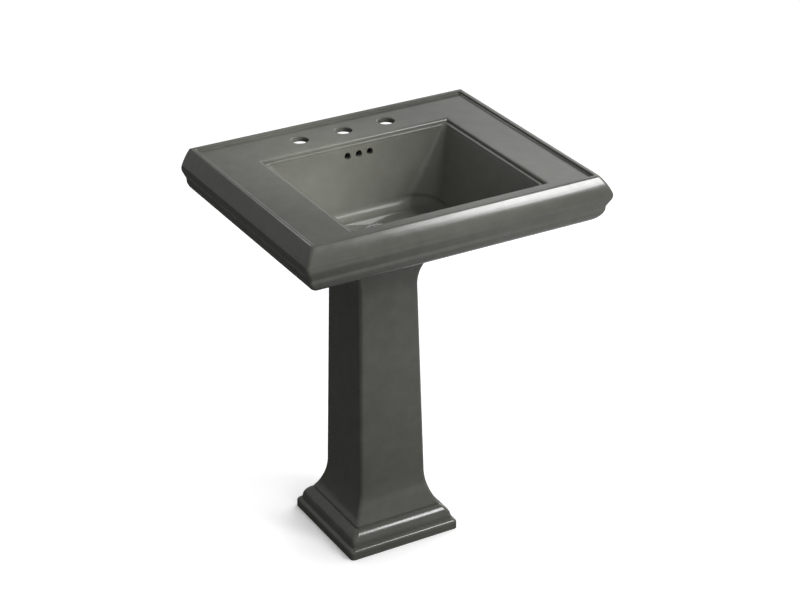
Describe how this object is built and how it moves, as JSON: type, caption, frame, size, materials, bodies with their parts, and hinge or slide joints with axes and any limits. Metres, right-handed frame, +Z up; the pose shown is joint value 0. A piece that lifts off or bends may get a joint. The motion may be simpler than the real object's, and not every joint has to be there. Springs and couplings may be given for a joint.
{
  "type": "pedestal sink",
  "caption": "Square-rimmed vitreous china basin on a moulded square column, with faucet and overflow holes, a push-button drain and a P-trap inside the column.",
  "frame": {"origin": "on the floor, under the centre of the basin's footprint", "axes": "+Z up, +Y to the wall behind the sink, +X to the user's right when facing the wall"},
  "size_m": [0.6858, 0.5588, 0.889],
  "materials": {
    "glaze": "gloss dark grey glaze",
    "chrome": "polished",
    "brass": "machined",
    "rubber": "matt",
    "plastic": "matt",
    "steel": "drawn wire"
  },
  "bodies": {
    "sink": {"basin": "glaze", "pedestal": "glaze", "flange_gasket": "rubber", "drain_flange": "chrome", "drain_body": "brass", "cartridge_guide": "plastic", "cartridge_spring": "steel", "lower_gasket": "rubber", "friction_washer": "plastic", "drain_locknut": "brass", "tailpiece": "chrome", "inlet_slip_washer": "rubber", "inlet_slip_nut": "chrome", "trap_bend": "chrome", "cleanout_washer": "rubber", "cleanout_plug": "chrome", "union_washer": "rubber", "union_nut": "chrome", "trap_arm": "chrome", "wall_escutcheon": "chrome"},
    "stopper": {"stopper_cap": "chrome", "stopper_seal": "rubber", "stopper_stem": "brass"}
  },
  "joints": [
    {"name": "stopper_lift", "type": "slide", "parent": "sink", "child": "stopper", "axis": [0, 0, 1], "range_m": [0, 0.009]}
  ]
}
